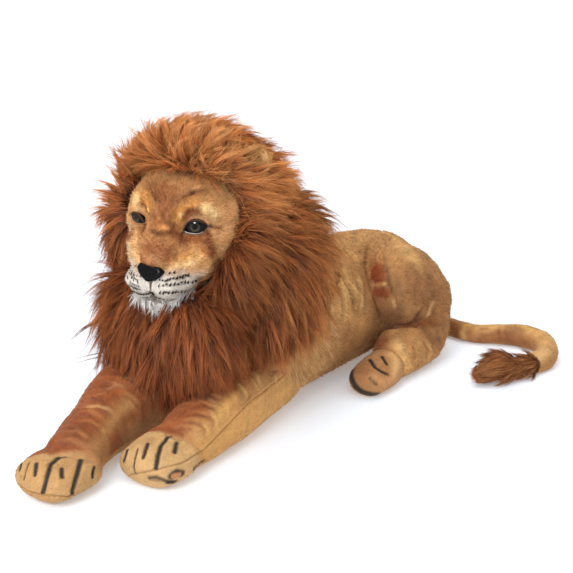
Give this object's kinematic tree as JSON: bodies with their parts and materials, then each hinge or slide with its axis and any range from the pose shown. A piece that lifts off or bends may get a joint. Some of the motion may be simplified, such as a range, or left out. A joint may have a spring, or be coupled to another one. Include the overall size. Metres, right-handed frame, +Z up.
{
  "type": "plush lion",
  "caption": "Large stuffed lion toy lying on its belly, with a long-pile mane, moulded eyes and nose, and a tail that swings.",
  "frame": {"origin": "on the flat patch of the belly that rests on the ground, within 4 mm of its middle", "axes": "+Z up, -Y the way the lion faces, +X to the lion's left"},
  "size_m": [0.6287, 1.1408, 0.5572],
  "materials": {
    "short_pile": "short velvety pile, tan with airbrushed rust shading",
    "long_pile": "long shaggy pile, rust brown with lighter tips",
    "white_pile": "off-white pile with dark dots",
    "nose_plastic": "moulded, satin black",
    "eye_plastic": "moulded, clear gloss over a grey-brown iris",
    "washer_plastic": "plain moulded"
  },
  "bodies": {
    "lion": {"torso": "short_pile", "neck": "short_pile", "head": "short_pile", "muzzle": "white_pile", "chin": "white_pile", "nose": "nose_plastic", "nose_washer": "washer_plastic", "eye_left": "eye_plastic", "eye_right": "eye_plastic", "eye_washer_left": "washer_plastic", "eye_washer_right": "washer_plastic", "ear_left": "short_pile", "ear_right": "short_pile", "thigh_left": "short_pile", "thigh_right": "short_pile", "hind_leg_left": "short_pile", "hind_leg_right": "short_pile", "hind_paw_left": "short_pile", "hind_paw_right": "short_pile", "foreleg_left": "short_pile", "foreleg_right": "short_pile", "front_paw_left": "short_pile", "front_paw_right": "short_pile", "mane_hood": "long_pile", "mane_cape": "long_pile", "mane_bib": "long_pile"},
    "tail": {"tail": "short_pile"},
    "tuft": {"tail_tuft": "long_pile"}
  },
  "joints": [
    {"name": "tail_swing", "type": "hinge", "parent": "lion", "child": "tail", "pos_m": [0.00998, 0.34, 0.048], "axis": [0, 0, 1], "range_deg": [0, 55]},
    {"name": "tuft_flop", "type": "hinge", "parent": "tail", "child": "tuft", "pos_m": [0.384, 0.24438, 0.02043], "axis": [0, 0, 1], "range_deg": [-25, 25]}
  ]
}
